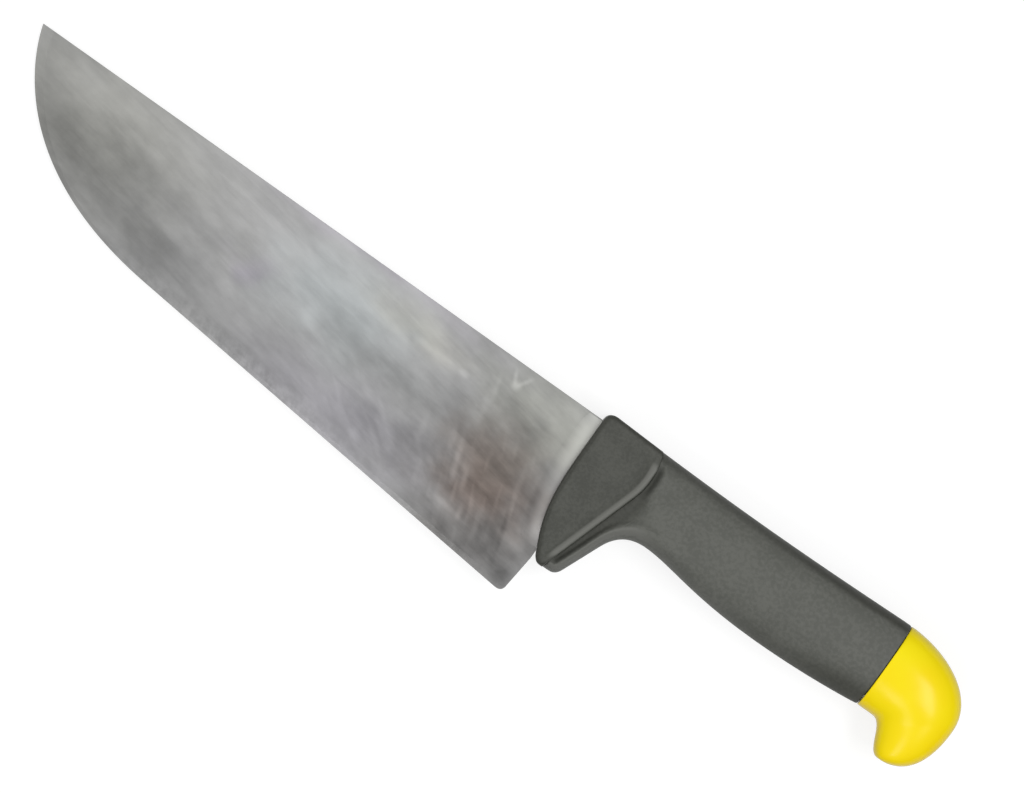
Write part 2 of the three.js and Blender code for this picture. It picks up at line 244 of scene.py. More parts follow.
front_line = [flat(0, -0.4)] + [flat(0, -2 * i) for i in range(1, 7)]
front_line += geometry.interpolate_bezier(
    flat(0, -14), flat(0, -30), flat(2.25, -36.4), flat(4.5, -42), 18,
)
front_line.append(flat(6.4, -45.85))
ramp_length = 6.5
ramp_share = 0.65
ramp_foot = -45.8
ramp_sunk = 0.003
ramp_gaps = [ramp_length - 0.5 * i for i in range(14)]
ramp_rows = [[] for _ in ramp_gaps]
hidden_row = []
for point in front_line:
    fade = ramp_share * smooth(point.y, ramp_foot, -36)
    for row, gap in zip(ramp_rows, ramp_gaps):
        ground = wedge(point.x - gap, point.y)
        rise = fade * (half_spine - ground) * smooth(gap, ramp_length, 0.3)
        row.append(place(point.x - gap, point.y, ground - ramp_sunk + rise))
    hidden_row.append(place(rear_x - 0.1, point.y, ramp_rows[-1][-1].z / mm))
blade_verts = set(steel.verts)
add_plate(steel, ramp_rows + [hidden_row], [satin] * len(ramp_rows))
# Painted highlight: a lighter strip on the ramp along the bolster's front, which also lightens the
# shade that the bolster casts on the blade there.
for vert in set(steel.verts) - blade_verts:
    x, y = spot_of(vert)
    highlight_width = mix(5, 6.5, smooth(y, -40, -15))
    vert[painted_highlight] = smooth(gap_to(front_line, x, y), highlight_width, 1.5) * smooth(y, -46, -45)
    vert[painted_highlight] *= mix(0.95, 1.75, smooth(y, -27, -14))

tang_top = -4
tang_foot = -20
hole_radius = 2.3
tang_outline = [
    (heel_back / 2, tang_top), (heel_back / 2, tang_foot), (tang_length - 6, -18),
    (tang_length - 1.7, -16.2), (tang_length, -12), (tang_length - 1.7, -7.8),
    (tang_length - 6, -6),
]
corners = [steel.verts.new(place(x, y)) for x, y in tang_outline]
tang_rim = [steel.edges.new((corners[i - 1], corners[i])) for i in range(len(corners))]
for node in ("rivet_front", "rivet_middle", "rivet_rear"):
    low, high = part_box(node)
    hole = bmesh.ops.create_circle(
        steel, segments=28, radius=hole_radius * mm,
        matrix=Matrix.Translation(((low.x + high.x) / 2, (low.y + high.y) / 2, 0)),
    )["verts"]
    tang_rim += list({item for vert in hole for item in vert.link_edges})
filled = bmesh.ops.triangle_fill(steel, use_beauty=True, edges=tang_rim)["geom"]
tang_faces = [item for item in filled if isinstance(item, bmesh.types.BMFace)]
low_verts = list({vert for face in tang_faces for vert in face.verts})
lifted = bmesh.ops.extrude_face_region(steel, geom=tang_faces)["geom"]
high_verts = [item for item in lifted if isinstance(item, bmesh.types.BMVert)]
bmesh.ops.translate(steel, verts=high_verts, vec=(0, 0, half_spine * mm))
bmesh.ops.translate(steel, verts=low_verts, vec=(0, 0, -half_spine * mm))
bmesh.ops.recalc_face_normals(steel, faces=steel.faces)
for vert in steel.verts:
    vert[edge_gap] = gap_to(edge, *spot_of(vert))
bmesh.ops.translate(steel, verts=steel.verts, vec=(0, 0, middle))


def piece_from(mesh, name, nodes, materials, sharp=None):
    """A finished piece that rides on the knife and stands for its CAD nodes."""
    data = bpy.data.meshes.new(name)
    mesh.to_mesh(data)
    mesh.free()
    data.shade_smooth()
    if sharp is not None:
        data.set_sharp_from_angle(angle=math.radians(sharp))
    for material in materials:
        data.materials.append(material)
    piece = bpy.data.objects.new(name, data)
    bpy.context.scene.collection.objects.link(piece)
    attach(piece, "root")
    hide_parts(*nodes)
    return piece


def add(tree, kind, inputs=None, **settings):
    """A shader node with its settings, and its inputs set or linked."""
    node = tree.nodes.new("ShaderNode" + kind)
    for name, value in settings.items():
        setattr(node, name, value)
    for name, value in (inputs or {}).items():
        if isinstance(value, bpy.types.NodeSocket):
            tree.links.new(value, node.inputs[name])
        else:
            node.inputs[name].default_value = value
    return node


def finish_named(name):
    """A material with its node tree, its shader and the piece's own coordinates."""
    material = bpy.data.materials.new(name)
    material.use_nodes = True
    tree = material.node_tree
    return material, tree, tree.nodes["Principled BSDF"], add(tree, "TexCoord").outputs["Object"]


def attribute(tree, name):
    """A value that the piece's mesh holds at its vertices."""
    return add(tree, "Attribute", attribute_name=name).outputs["Fac"]


def clouds(tree, coords, scale, detail):
    noise = add(tree, "TexNoise", {"Vector": coords, "Scale": scale, "Detail": detail})
    return noise.outputs["Fac"]


def between(tree, value, low, high, out_low=0.0, out_high=1.0):
    """A value's way from low to high, eased at both ends."""
    ramp = add(tree, "MapRange", {
        "Value": value, "From Min": low, "From Max": high, "To Min": out_low, "To Max": out_high,
    }, interpolation_type="SMOOTHSTEP")
    return ramp.outputs["Result"]


def around_zero(tree, value, low, high):
    return between(tree, value, low, high, -1, 1)


def times(tree, a, b):
    return add(tree, "Math", {0: a, 1: b}, operation="MULTIPLY").outputs[0]


def plus(tree, base, parts):
    """A base value with shares of other values added."""
    for value, share in parts:
        node = add(tree, "Math", {0: value, 1: share, 2: base}, operation="MULTIPLY_ADD")
        base = node.outputs[0]
    return base


def patch(tree, coords, x, y, wide, tall, lean=0.0):
    """A soft oval patch round a point of the knife, 1 in its middle and 0 outside."""
    centre = place(x, y)
    turned = add(tree, "Mapping", {
        "Vector": coords, "Location": (centre.x, centre.y, 0), "Rotation": (0, 0, lean),
        "Scale": (wide * mm, tall * mm, 1),
    }, vector_type="TEXTURE")
    ball = add(
        tree, "TexGradient", {"Vector": turned.outputs["Vector"]}, gradient_type="SPHERICAL",
    )
    return between(tree, ball.outputs["Fac"], 0, 1)


def streaks(tree, coords, course, long, wide, detail):
    """Streaks of that length and width along a course, as a value from 0 to 1."""
    turned = add(tree, "Mapping", {
        "Vector": coords, "Rotation": (0, 0, course), "Scale": (long * mm, wide * mm, 1),
    }, vector_type="TEXTURE")
    noise = add(tree, "TexNoise", {
        "Vector": turned.outputs["Vector"], "Scale": 1, "Detail": detail, "Roughness": 0.6,
    })
    return noise.outputs["Fac"]


def tinted(tree, colour, share, tint):
    """A colour multiplied by a tint where the share says so."""
    node = add(
        tree, "Mix", {0: share, 6: colour, 7: tint + (1,)}, data_type="RGBA",
        blend_type="MULTIPLY",
    )
    return node.outputs[2]


def ground_steel(name, level, smoothness):
    """Used satin steel: a painted pattern of reflections (a broad highlight, lighter and darker
    patches and coloured tints, warm at the heel), long grinding streaks, scratches at the heel and
    a speckled edge.
    """
    material, tree, shader, coords = finish_named(name)
    drift = add(tree, "TexNoise", {"Vector": coords, "Scale": 70, "Detail": 3, "Roughness": 0.5})
    swing = add(
        tree, "VectorMath", {0: drift.outputs["Color"], 1: (0.5, 0.5, 0.5)}, operation="SUBTRACT",
    )
    wander = add(tree, "VectorMath", {
        0: swing.outputs["Vector"], 1: (0.03, 0.014, 0), 2: coords,
    }, operation="MULTIPLY_ADD").outputs["Vector"]
    # A warm, slightly darker patch at the heel, painted in as a warm reflection.
    heel_warm_reflection = patch(tree, wander, -21, -33, 27, 22)
    heel_shade = patch(tree, wander, -14, -42, 43, 38)
    # Painted reflections: the lighter patches stand for a broad highlight and the brighter zones
    # that the steel reflects, and the darker patches stand for its darker zones.
    tone = plus(tree, level, [
        (patch(tree, wander, -95, -10, 75, 48), 0.17),
        (patch(tree, wander, -174, -4, 78, 22), 0.12),
        (patch(tree, wander, -62, -10.5, 34, 7), 0.055),
        (patch(tree, coords, -96, -28, 6, 5), 0.09),
        (patch(tree, coords, -29, -7, 2.6, 2.6), 0.14),
        (patch(tree, coords, -35, -3, 9, 5), 0.05),
        (patch(tree, wander, -180, -25, 36, 18), -0.1),
        (patch(tree, wander, -146, -38, 32, 11, -0.15), -0.08),
        (patch(tree, wander, -58, -26, 44, 13), -0.09),
        (patch(tree, wander, -56, -43, 30, 9), -0.055),
        (patch(tree, wander, -106, -46, 34, 7), -0.04),
        (patch(tree, wander, -22, -19, 16, 14), -0.06),
        (patch(tree, wander, -118, -27, 13, 8), -0.06),
        (patch(tree, coords, -80, -21, 13, 8), -0.04),
        (patch(tree, wander, -80, -35, 15, 8), -0.04),
        (patch(tree, coords, -35, -36, 10, 9), -0.06),
        (patch(tree, coords, -22, -49, 13, 8), 0.05),
        (heel_shade, -0.2),
        (heel_warm_reflection, -0.02),
        (patch(tree, wander, -6, -6, 18, 17), 0.09),
        (patch(tree, wander, 0, -58, 24, 15), -0.09),
        (patch(tree, coords, 2, -61, 10, 8), -0.1),
        (patch(tree, coords, -2, -48, 7, 8), 0.06),
        (patch(tree, coords, -26, -60, 50, 7), -0.06),
        # painted highlight along the bolster's front
        (attribute(tree, "painted_highlight"), 0.19),
    ])
    cloud = streaks(tree, coords, -0.2, 34, 9, 4)
    blotches = streaks(tree, coords, -0.2, 7, 5, 3)
    grinding = streaks(tree, coords, -0.18, 40, 3, 2)
    fine_lines = streaks(tree, coords, -0.16, 26, 0.5, 3)
    upright = between(tree, streaks(tree, coords, -1.2, 18, 4, 1), 0.5, 0.7)
    slanting = between(tree, streaks(tree, coords, -0.65, 15, 4, 1), 0.5, 0.7)
    speckles = around_zero(tree, streaks(tree, coords, -1.1, 4, 2.8, 4), 0.3, 0.7)
    at_edge = between(tree, attribute(tree, "edge_gap"), 7, 2)
    edge_patch = times(tree, at_edge, patch(tree, coords, -105, -50, 85, 30))
    tone = plus(tree, tone, [
        (around_zero(tree, cloud, 0.28, 0.72), 0.028),
        (around_zero(tree, blotches, 0.28, 0.72), 0.016),
        (around_zero(tree, grinding, 0.25, 0.75), 0.009),
        (around_zero(tree, fine_lines, 0.2, 0.8), 0.004),
        (times(tree, upright, patch(tree, coords, -19, -42, 36, 30)), 0.06),
        (times(tree, slanting, patch(tree, coords, -62, -42, 44, 24)), 0.05),
        (times(tree, speckles, edge_patch), 0.05),
    ])
    for x, y, long, wide, course, share in (
        (-31, -37, 11, 1.8, -1.23, 0.08), (-25.5, -41, 6, 1.6, -1.2, 0.07),
        (-34, -17, 9, 1.8, -1.3, 0.03), (-27, -51, 6, 2, -0.15, 0.08),
        (-20.5, -51, 4, 1.6, -1.3, 0.07), (-6, -47, 12, 1.4, -1.25, -0.04),
        (-46, -35, 9, 2, -1.3, 0.03), (-37, -43, 5, 1.8, -0.55, 0.07),
        (-70, -34, 8, 2, -0.6, 0.04), (-55, -42, 9, 2, -0.65, 0.04),
        (-62, -50, 4, 2, -0.4, 0.06), (-53, -13.3, 15, 2.4, -0.06, 0.085),
        (-45, -13.6, 3, 1.6, -0.1, 0.09), (-30.8, -5, 4, 1.2, -1.1, 0.1),
        (-27.2, -4.6, 4, 1.2, 1, 0.1), (-34, -11, 8, 1.6, -1.3, 0.05),
    ):
        scratch = patch(tree, coords, x, y, long, wide, course)
        tone = plus(tree, tone, [(scratch, share)])
    colour = tone
    # Painted reflections: coloured tints that stand for the warm, yellowish, greenish, bluish and
    # violet hues that the steel reflects, warmest at the heel.
    for share, tint in (
        (heel_warm_reflection, (1.06, 0.95, 0.885)),
        (heel_shade, (1.02, 0.98, 0.95)),
        (patch(tree, wander, -14, -43, 20, 13), (1.05, 0.965, 0.93)),
        (patch(tree, wander, -190, -16, 75, 46), (1.0, 1.0, 0.945)),
        (patch(tree, wander, -10, -10, 44, 26), (0.99, 1.0, 0.93)),
        (patch(tree, wander, -90, -20, 46, 24), (0.95, 1.0, 1.01)),
        (patch(tree, wander, -70, -48, 60, 20), (1.0, 0.98, 1.04)),
        (patch(tree, wander, -90, 0, 70, 6), (1.0, 0.97, 1.03)),
        (patch(tree, wander, -122, -25, 14, 9), (1.01, 0.97, 1.05)),
        (patch(tree, wander, -62, -11, 30, 8), (1.01, 1.0, 0.94)),
    ):
        colour = tinted(tree, colour, share, tint)
    rough = plus(tree, smoothness, [
        (around_zero(tree, cloud, 0.3, 0.7), 0.05),
        (around_zero(tree, fine_lines, 0.3, 0.7), 0.02),
    ])
    ripple = add(tree, "Bump", {"Height": fine_lines, "Strength": 0.07, "Distance": 0.02 * mm})
    shader.inputs["Metallic"].default_value = 1
    tree.links.new(colour, shader.inputs["Base Color"])
    tree.links.new(rough, shader.inputs["Roughness"])
    tree.links.new(ripple.outputs["Normal"], shader.inputs["Normal"])
    return material


satin_steel = ground_steel("satin_steel", 0.365, 0.36)
honed_edge = ground_steel("honed_edge", 0.355, 0.4)
piece_from(steel, "ground_blade", ["blade"], [satin_steel, honed_edge], 8)

# Bolster: a hard plastic block moulded over the blade's heel. It is slotted for the blade
# and the tang, its cheeks are flat panels for the thumb, and a raised lip ends it at the back.
clearance = 0.3
cheek_high = (bolster_high.z - bolster_low.z) / 2 / mm
panel_high = cheek_high - 0.6
cheek_round = 1.4
lip_round = 1.3
lip_drop = 1.2
lip_foot = 11
slot_half = half_spine + clearance
slot_back = rear_x + clearance
back_rise = (bolster_high.y - spine) / mm
back_sag = 1.15
handle_length = (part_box("grip")[1].x - bolster_front) / mm


def back_y(x):
    """The height of the handle's back, which sags a little in the middle."""
    return back_rise - back_sag * math.sin(math.pi * x / handle_length)


def bend(a, b, c, count):
    """Points of a bend that leaves a towards b and comes from b into c."""
    return geometry.interpolate_bezier(a, a.lerp(b, 2 / 3), c.lerp(b, 2 / 3), c, count)


lip_top = flat(21.4, back_y(21.4))
lip_line = bend(lip_top, flat(25.19, -5.81), flat(22.4, -14.4), 20)
lip_line.append(flat(lip_foot, -guard_depth))
nose = bend(flat(3.4, back_rise), flat(0, back_rise), flat(0, 0), 12)
foot = bend(flat(7.3, -47.7), flat(8.2, -guard_depth), flat(9.9, -guard_depth), 8)
face_line = nose + front_line[1:-1] + foot

edge_steps = [0, 0.03, 0.12, 0.28, 0.5, 0.8, 1.15, 1.6, 2.2, 3]
lip_steps = [0, 0.05, 0.16, 0.32, 0.52, 0.76, 1.0, 1.3, 1.6, 1.9, 2.25, 2.6, 3.1]
foot_steps = [0, 0.03, 0.12, 0.28, 0.5, 0.8, 1.15, 1.6, 2.1, 2.8, 3.6]
heights = [back_rise - step for step in edge_steps]
heights += [mix(0.4, -45.9, i / 40) for i in range(1, 40)]
heights += [-guard_depth + step for step in reversed(foot_steps)]
fore = [flat(x_on(face_line, y), y) for y in heights]
drop = back_rise - lip_top.y
aft_heights = [y - drop * smooth(y, -12, back_rise) for y in heights]
aft = [flat(x_on(lip_line, y), y) for y in aft_heights]
cheek_rim = aft[:1] + fore + aft[-1:]

block = bmesh.new()
station = block.verts.layers.int.new("station")
cheek_shading = block.verts.layers.float.new("cheek_shading")


def lip_share(point, ahead):
    """How far the raised lip stands up at a point that lies so far ahead of its edge."""
    crest = smooth(ahead, 3, 1.5)
    return crest * smooth(point.y, 0.5, -4) * smooth(point.y, -48, -42)


def cheek_at(point, ahead):
    """How high a cheek stands off the middle, with its lip and its rounded rim."""
    high = mix(panel_high, cheek_high, lip_share(point, ahead))
    turn_down = max(lip_round - ahead, 0) / lip_round * smooth(point.y, 0, -7)
    high -= lip_drop * (1 - math.sqrt(1 - turn_down ** 2))
    near = max(cheek_round - gap_to(cheek_rim, point.x, point.y), 0) / cheek_round
    return high - cheek_round * (1 - math.sqrt(max(1 - near ** 2, 0)))


def cheek_shading_at(point, ahead):
    """Above 0 where a highlight is painted on the lip's crest, below 0 where shade is painted
    along the rim's rounded edges.
    """
    lip_highlight = lip_share(point, ahead) * smooth(ahead, 0.1, 0.6)
    return lip_highlight - smooth(gap_to(cheek_rim, point.x, point.y), 2.4, 0.6)


rows = []
shading_rows = []
for a, b in zip(fore, aft):
    width = (b - a).length
    squeeze = min(1, width / 9)
    panel_from = edge_steps[-1] * squeeze
    panel_to = width - lip_steps[-1] * squeeze
    steps = [step * squeeze for step in edge_steps]
    steps += [mix(panel_from, panel_to, i / 8) for i in range(1, 8)]
    steps += [width - step * squeeze for step in reversed(lip_steps)]
    spots = [(a.lerp(b, step / width), 0.95 * (width - step)) for step in steps]
    rows.append([place(p.x, p.y, cheek_at(p, ahead)) for p, ahead in spots])
    shading_rows.append([cheek_shading_at(p, ahead) for p, ahead in spots])

row = first_row(block, rows[0])
for vert in block.verts:
    vert[cheek_shading] = shading_rows[0][vert[station]]
for points, row_shading in zip(rows[1:], shading_rows[1:]):
    verts, _, row = draw_out(block, row)
    for vert in verts:
        vert.co = points[vert[station]]
        vert[cheek_shading] = row_shading[vert[station]]
for vert in draw_out(block, open_edges(block))[0]:
    vert.co.z = slot_half * mm
cheek_floor = bmesh.ops.holes_fill(block, edges=open_edges(block), sides=0)["faces"]
slot_corner = place(slot_back, clearance)
passage_top = place(slot_back, tang_top + clearance)
passage_foot = place(slot_back, tang_foot - clearance)
backward, upward = (1, 0, 0), (0, 1, 0)
for corner, normal in (
    (slot_corner, backward), (slot_corner, upward), (passage_top, upward), (passage_foot, upward),
):
    inside = {part for face in cheek_floor for part in face.verts[:] + face.edges[:]}
    split = bmesh.ops.bisect_plane(
        block, geom=list(inside) + cheek_floor, plane_co=corner, plane_no=normal,
    )["geom"]
    cheek_floor = [item for item in split if isinstance(item, bmesh.types.BMFace)]


def bridged(face):
    """Whether the bolster is solid from cheek to cheek there, clear of the blade and the tang."""
    spot = face.calc_center_median()
    beside_tang = passage_foot.y < spot.y < passage_top.y
    return spot.y > slot_corner.y or (spot.x > slot_corner.x and not beside_tang)


bridge_faces = [face for face in cheek_floor if bridged(face)]
lowered = bmesh.ops.extrude_face_region(block, geom=bridge_faces)["geom"]
for item in lowered:
    if isinstance(item, bmesh.types.BMVert):
        item.co.z = 0
spent = bridge_faces + [item for item in lowered if isinstance(item, bmesh.types.BMFace)]
bmesh.ops.delete(block, context="FACES", geom=[face for face in spent if face.is_valid])
bmesh.ops.mirror(
    block, geom=block.verts[:] + block.edges[:] + block.faces[:], axis="Z", merge_dist=weld / 2,
)
bmesh.ops.recalc_face_normals(block, faces=block.faces)
bmesh.ops.translate(block, verts=block.verts, vec=(0, 0, middle))


def toned(tree, value, dark, light, low=0.3, high=0.7):
    """A colour that runs from dark to light as a value runs from low to high."""
    node = add(tree, "ValToRGB", {"Fac": value})
    for stop, position, colour in zip(node.color_ramp.elements, (low, high), (dark, light)):
        stop.position = position
        stop.color = colour + (1,)
    return node.outputs["Color"]


def ranged(tree, value, low, high):
    return add(tree, "MapRange", {"Value": value, "To Min": low, "To Max": high}).outputs["Result"]


def speckled(tree, coords, mottle, scale, share):
    """A mottled value with fine speckles added."""
    speckle = around_zero(tree, clouds(tree, coords, scale, 2), 0.3, 0.7)
    return plus(tree, mottle, [(speckle, share)])


# Mixes a colour towards a paler one, to paint highlights.
def highlighted_to(tree, share, colour, pale):
    node = add(tree, "Mix", {0: share, 6: colour, 7: pale + (1,)}, data_type="RGBA")
    return node.outputs[2]


def grained(tree, coords, scale, strength, depth):
    """The fine grain that the mould leaves."""
    grain = clouds(tree, coords, scale, 2)
    bump = add(tree, "Bump", {"Height": grain, "Strength": strength, "Distance": depth * mm})
    return bump.outputs["Normal"]


hard_grey, tree, shader, coords = finish_named("hard_grey")
mottle = clouds(tree, coords, 120, 5)
shading_value = attribute(tree, "cheek_shading")
grey = toned(
    tree, speckled(tree, coords, mottle, 1100, 0.16), (0.06, 0.062, 0.053), (0.081, 0.083, 0.072),
)
# Painted highlight on the lip's crest, and painted shade on the cheeks along their rounded rim.
grey = highlighted_to(tree, between(tree, shading_value, 0.1, 0.9, 0, 0.8), grey, (0.17, 0.172, 0.156))
grey = tinted(tree, grey, between(tree, shading_value, -0.1, -1.0), (0.7, 0.7, 0.68))
shader.inputs["Specular IOR Level"].default_value = 0.3
tree.links.new(grey, shader.inputs["Base Color"])
tree.links.new(ranged(tree, mottle, 0.42, 0.6), shader.inputs["Roughness"])
tree.links.new(grained(tree, coords, 2600, 0.4, 0.04), shader.inputs["Normal"])
piece_from(block, "slotted_bolster", ["bolster"], [hard_grey], 30)

# Grip: a softer sleeve moulded over the core, from the lip to the end cap. It has a rounded
# band round the guard, a hollow for the first finger and a full belly for the palm.
guard_nose = flat(13.4, -guard_depth)
guard_turn = flat(17.09, -46.9)
guard_root = flat(22.64, -33.7)
hollow = flat(35, -25.5)
palm = flat(80, -29.6)
seam_low = -27.2
throat_half = 9.8
palm_half = 11.2
seam_half = 10.2
dish_depth = 1.7
core_half = 6.0
core_tall = 19.6
core_depth = 11.9

underside = [flat(mix(11.1, guard_nose.x, i / 5), -guard_depth) for i in range(5)]
underside += bend(guard_nose, flat(16, -guard_depth), guard_turn, 8)
underside += [guard_turn.lerp(guard_root, i / 10) for i in range(1, 10)]
underside += geometry.interpolate_bezier(
    guard_root, flat(25.05, -27.96), flat(29.07, hollow.y), hollow, 14,
)
palm_line = geometry.interpolate_bezier(
    hollow, flat(44.9, hollow.y), flat(55.25, palm.y), palm, 14,
)
underside += palm_line[1:]
underside += bend(palm, flat(99.4, palm.y), flat(handle_length, seam_low), 11)[1:]
band_line = underside[:-15]


def bow(y):
    """How far the lip stands out from a straight line between its ends."""
    share = (y + guard_depth) / (guard_depth + lip_top.y)
    return x_on(lip_line, y) - mix(lip_foot, lip_top.x, share)


def band_width(x):
    return mix(3, 5.2, smooth(x, 15, 32))


def dished(x, y, gap):
    """How far the grip is dished, between the lip and the band round the guard."""
    reach = mix(2.8, 10, smooth(-y, 9, 18))
    dish = smooth(gap, band_width(x) - 0.4, band_width(x) + 1.4)
    return dish * smooth(x - x_on(lip_line, y), 1.1 * reach, 0.25 * reach) * smooth(-y, -1, 4)


def grip_point(lower, turn):
    """A point of the grip's skin on the ring that ends at a point of the underside."""
    upper_x = lower.x + 10.4 * (1 - smooth(lower.x, 11.3, 70))
    height = math.cos(turn)
    rise = (1 + height) / 2
    y = mix(lower.y, back_y(upper_x), rise)
    lean = (bow(y) - bow(lower.y) * (1 - rise)) * (1 - smooth(lower.x, 11.3, 45))
    x = mix(lower.x, upper_x, rise) + lean
    half = mix(throat_half, palm_half, smooth(x, 23.6, palm.x))
    half = mix(half, seam_half, smooth(x, palm.x, handle_length))
    half = mix(half, panel_high, smooth(y, -9, -1) * smooth(x, 36, 24))
    square = mix(5, 2.7, smooth(upper_x, 16, hollow.x))
    if height < 0:
        square = mix(square, 1.8, smooth(lower.x, 45, 80))
    side = (1 - abs(height) ** square) ** (1 / square)
    if lower.x < 60:
        gap = gap_to(band_line, x, y)
        beaded = math.sqrt(1 - (1 - min(gap / band_width(x), 1)) ** 2)
        if height < 0:
            side = mix(side, beaded, 1 - smooth(lower.x, hollow.x, 58))
        half -= dish_depth * dished(x, y, gap)
    return place(x, y, half * side * math.copysign(1, math.sin(turn)))


def core_point(x, turn, tall=core_tall):
    """A point of the cavity for the core, a rounded rectangle across the handle."""
    soft = [math.copysign(abs(f(turn)) ** 0.35, f(turn)) for f in (math.cos, math.sin)]
    return place(x, -core_depth + soft[0] * tall / 2, core_half * soft[1])


def lip_face(turn, inset):
    """A point of the grip's front, which lies on the bolster's lip, drawn in by a share."""
    point = grip_point(underside[0], turn)
    centre = place(17.5, -14)
    return point.lerp(Vector((point.x, centre.y, centre.z)), inset)


def seam_face(turn, inset):
    """A point of the grip's rear face, drawn in by a share."""
    return grip_point(underside[-1], turn).lerp(place(handle_length, -12), inset)


def draw_rings(mesh, count, forms):
    """A skin through rings of points, each placed by its form from how far round it is."""
    around = mesh.verts.layers.float["turn"]
    ring = bmesh.ops.create_circle(mesh, segments=count, radius=mm)["verts"]
    for i, vert in enumerate(ring):
        vert[around] = 2 * math.pi * i / count
    edges = mesh.edges[:]
    for i, form in enumerate(forms):
        if i > 0:
            ring, _, edges = draw_out(mesh, edges)
        for vert in ring:
            vert.co = form(vert[around])


sleeve = bmesh.new()
sleeve.verts.layers.float.new("turn")
grip_shading = sleeve.verts.layers.float.new("grip_shading")
forms = [lambda turn, x=x: core_point(x, turn) for x in (60, 29, 28)]
forms += [lambda turn, inset=inset: lip_face(turn, inset) for inset in (0.5, 0.25, 0.04, 0)]
forms += [lambda turn, lower=lower: grip_point(lower, turn) for lower in underside[1:]]
forms += [lambda turn, inset=inset: seam_face(turn, inset) for inset in (0.02, 0.1)]
forms += [lambda turn, sunk=sunk: core_point(handle_length - sunk, turn) for sunk in (0.1, 4)]
draw_rings(sleeve, 72, forms)
bmesh.ops.bridge_loops(sleeve, edges=open_edges(sleeve))
bmesh.ops.recalc_face_normals(sleeve, faces=sleeve.faces)
bmesh.ops.translate(sleeve, verts=sleeve.verts, vec=(0, 0, middle))
# Painted light and shade on the grip: darker along the back, along the belly and in a spot in the
# finger hollow, darker in the dish behind the lip, and lighter on the crest of the band round the
# guard.
for vert in sleeve.verts:
    x, y = spot_of(vert)
    rearward = smooth(x, 85, 112)
    back_shade = mix(0.6, 1, smooth(x, 45, 105)) * smooth(back_y(x) - y, 4.6, 1)
    belly_shade = mix(0.45, 0.7, rearward) * smooth(x, 55, 85)
    belly_shade *= smooth(gap_to(underside, x, y), mix(9, 13, rearward), 2)
    hollow_shade = 0.42 * smooth(math.hypot((x - 33) / 7, (y + 20.5) / 4), 1, 0.2)
    vert[grip_shading] = -back_shade - belly_shade - hollow_shade
    if x < 60 and abs(vert.co.z - middle) > 1.2 * core_half * mm:
        gap = gap_to(band_line, x, y)
        crest = smooth(gap, 0.3, 1.6) * smooth(gap, band_width(x) + 0.4, band_width(x) - 1)
        vert[grip_shading] += crest * (1 - smooth(x, 30, 42)) - 0.62 * dished(x, y, gap)

soft_grey, tree, shader, coords = finish_named("soft_grey")
mottle = clouds(tree, coords, 70, 5)
shading_value = attribute(tree, "grip_shading")
grey = toned(
    tree, speckled(tree, coords, mottle, 800, 0.2), (0.1, 0.103, 0.091), (0.124, 0.127, 0.113),
)
# Painted highlight on the crest of the band round the guard; below it, painted shade on the back,
# the belly, the hollow and the dish.
grey = highlighted_to(tree, between(tree, shading_value, 0.1, 1.0, 0, 0.7), grey, (0.17, 0.172, 0.158))
grey = tinted(tree, grey, between(tree, shading_value, -0.1, -0.9), (0.42, 0.42, 0.39))
shader.inputs["Specular IOR Level"].default_value = 0.3
tree.links.new(grey, shader.inputs["Base Color"])
tree.links.new(ranged(tree, mottle, 0.5, 0.68), shader.inputs["Roughness"])
tree.links.new(grained(tree, coords, 2200, 0.5, 0.05), shader.inputs["Normal"])
grip = piece_from(sleeve, "moulded_grip", ["grip"], [soft_grey])
rounding = grip.modifiers.new("rounding", "SUBSURF")
rounding.levels = rounding.render_levels = 2

# End cap: a glossy yellow cap, moulded hollow and snapped on the rear of the core. Its
# underside draws out into a hook that stops the hand from slipping off.
cap_front = handle_length + clearance
cap_end = (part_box("end_cap")[1].x - bolster_front) / mm
cap_bulge = 0.6
cap_square = 2.2
hook = flat(cap_end - 14.8, -37.6)
hook_half = 4.5
rear_point = flat(cap_end, -16.5)
outer = geometry.interpolate_bezier(
    flat(cap_front, back_rise), flat(134.35, back_rise), flat(cap_end, -4.1), rear_point, 18,
)
hook_line = geometry.interpolate_bezier(
    rear_point, flat(cap_end, -29.6), flat(144.4, hook.y), hook, 16,
)
outer += hook_line[1:]
inner = [flat(cap_front + 6 * (i / 12), seam_low) for i in range(12)]
inner += geometry.interpolate_bezier(
    flat(cap_front + 6, seam_low), flat(129.8, seam_low),
    flat(129.8, hook.y), hook, len(outer) - len(inner),
)


def cap_point(i, turn, inset=0.0):
    """A point of the cap's skin on one of its rings, drawn in by a share."""
    way = i / (len(outer) - 1)
    half = mix(seam_half, hook_half, way ** 2)
    half += cap_bulge * math.sin(math.pi * min(1, 2 * way))
    half *= math.sqrt(1 - 0.8 * max((way - 0.8) / 0.2, 0) ** 2)
    centre = (outer[i] + inner[i]) / 2
    height = math.cos(turn)
    side = (1 - abs(height) ** cap_square) ** (1 / cap_square)
    point = centre + (outer[i] - centre) * height
    skin = place(point.x, point.y, half * side * math.copysign(1, math.sin(turn)))
    return skin.lerp(place(centre.x, centre.y), inset)


cap = bmesh.new()
cap.verts.layers.float.new("turn")
rim_shade = cap.verts.layers.float.new("rim_shade")
forms = [
    lambda turn: core_point(133, turn, 12),
    lambda turn: core_point(133.2, turn),
    lambda turn: core_point(cap_front + 0.1, turn),
    lambda turn: cap_point(0, turn, 0.1),
    lambda turn: cap_point(0, turn, 0.02),
]
forms += [lambda turn, i=i: cap_point(i, turn) for i in range(len(outer) - 1)]
draw_rings(cap, 48, forms)
bmesh.ops.holes_fill(cap, edges=open_edges(cap), sides=0)
bmesh.ops.recalc_face_normals(cap, faces=cap.faces)
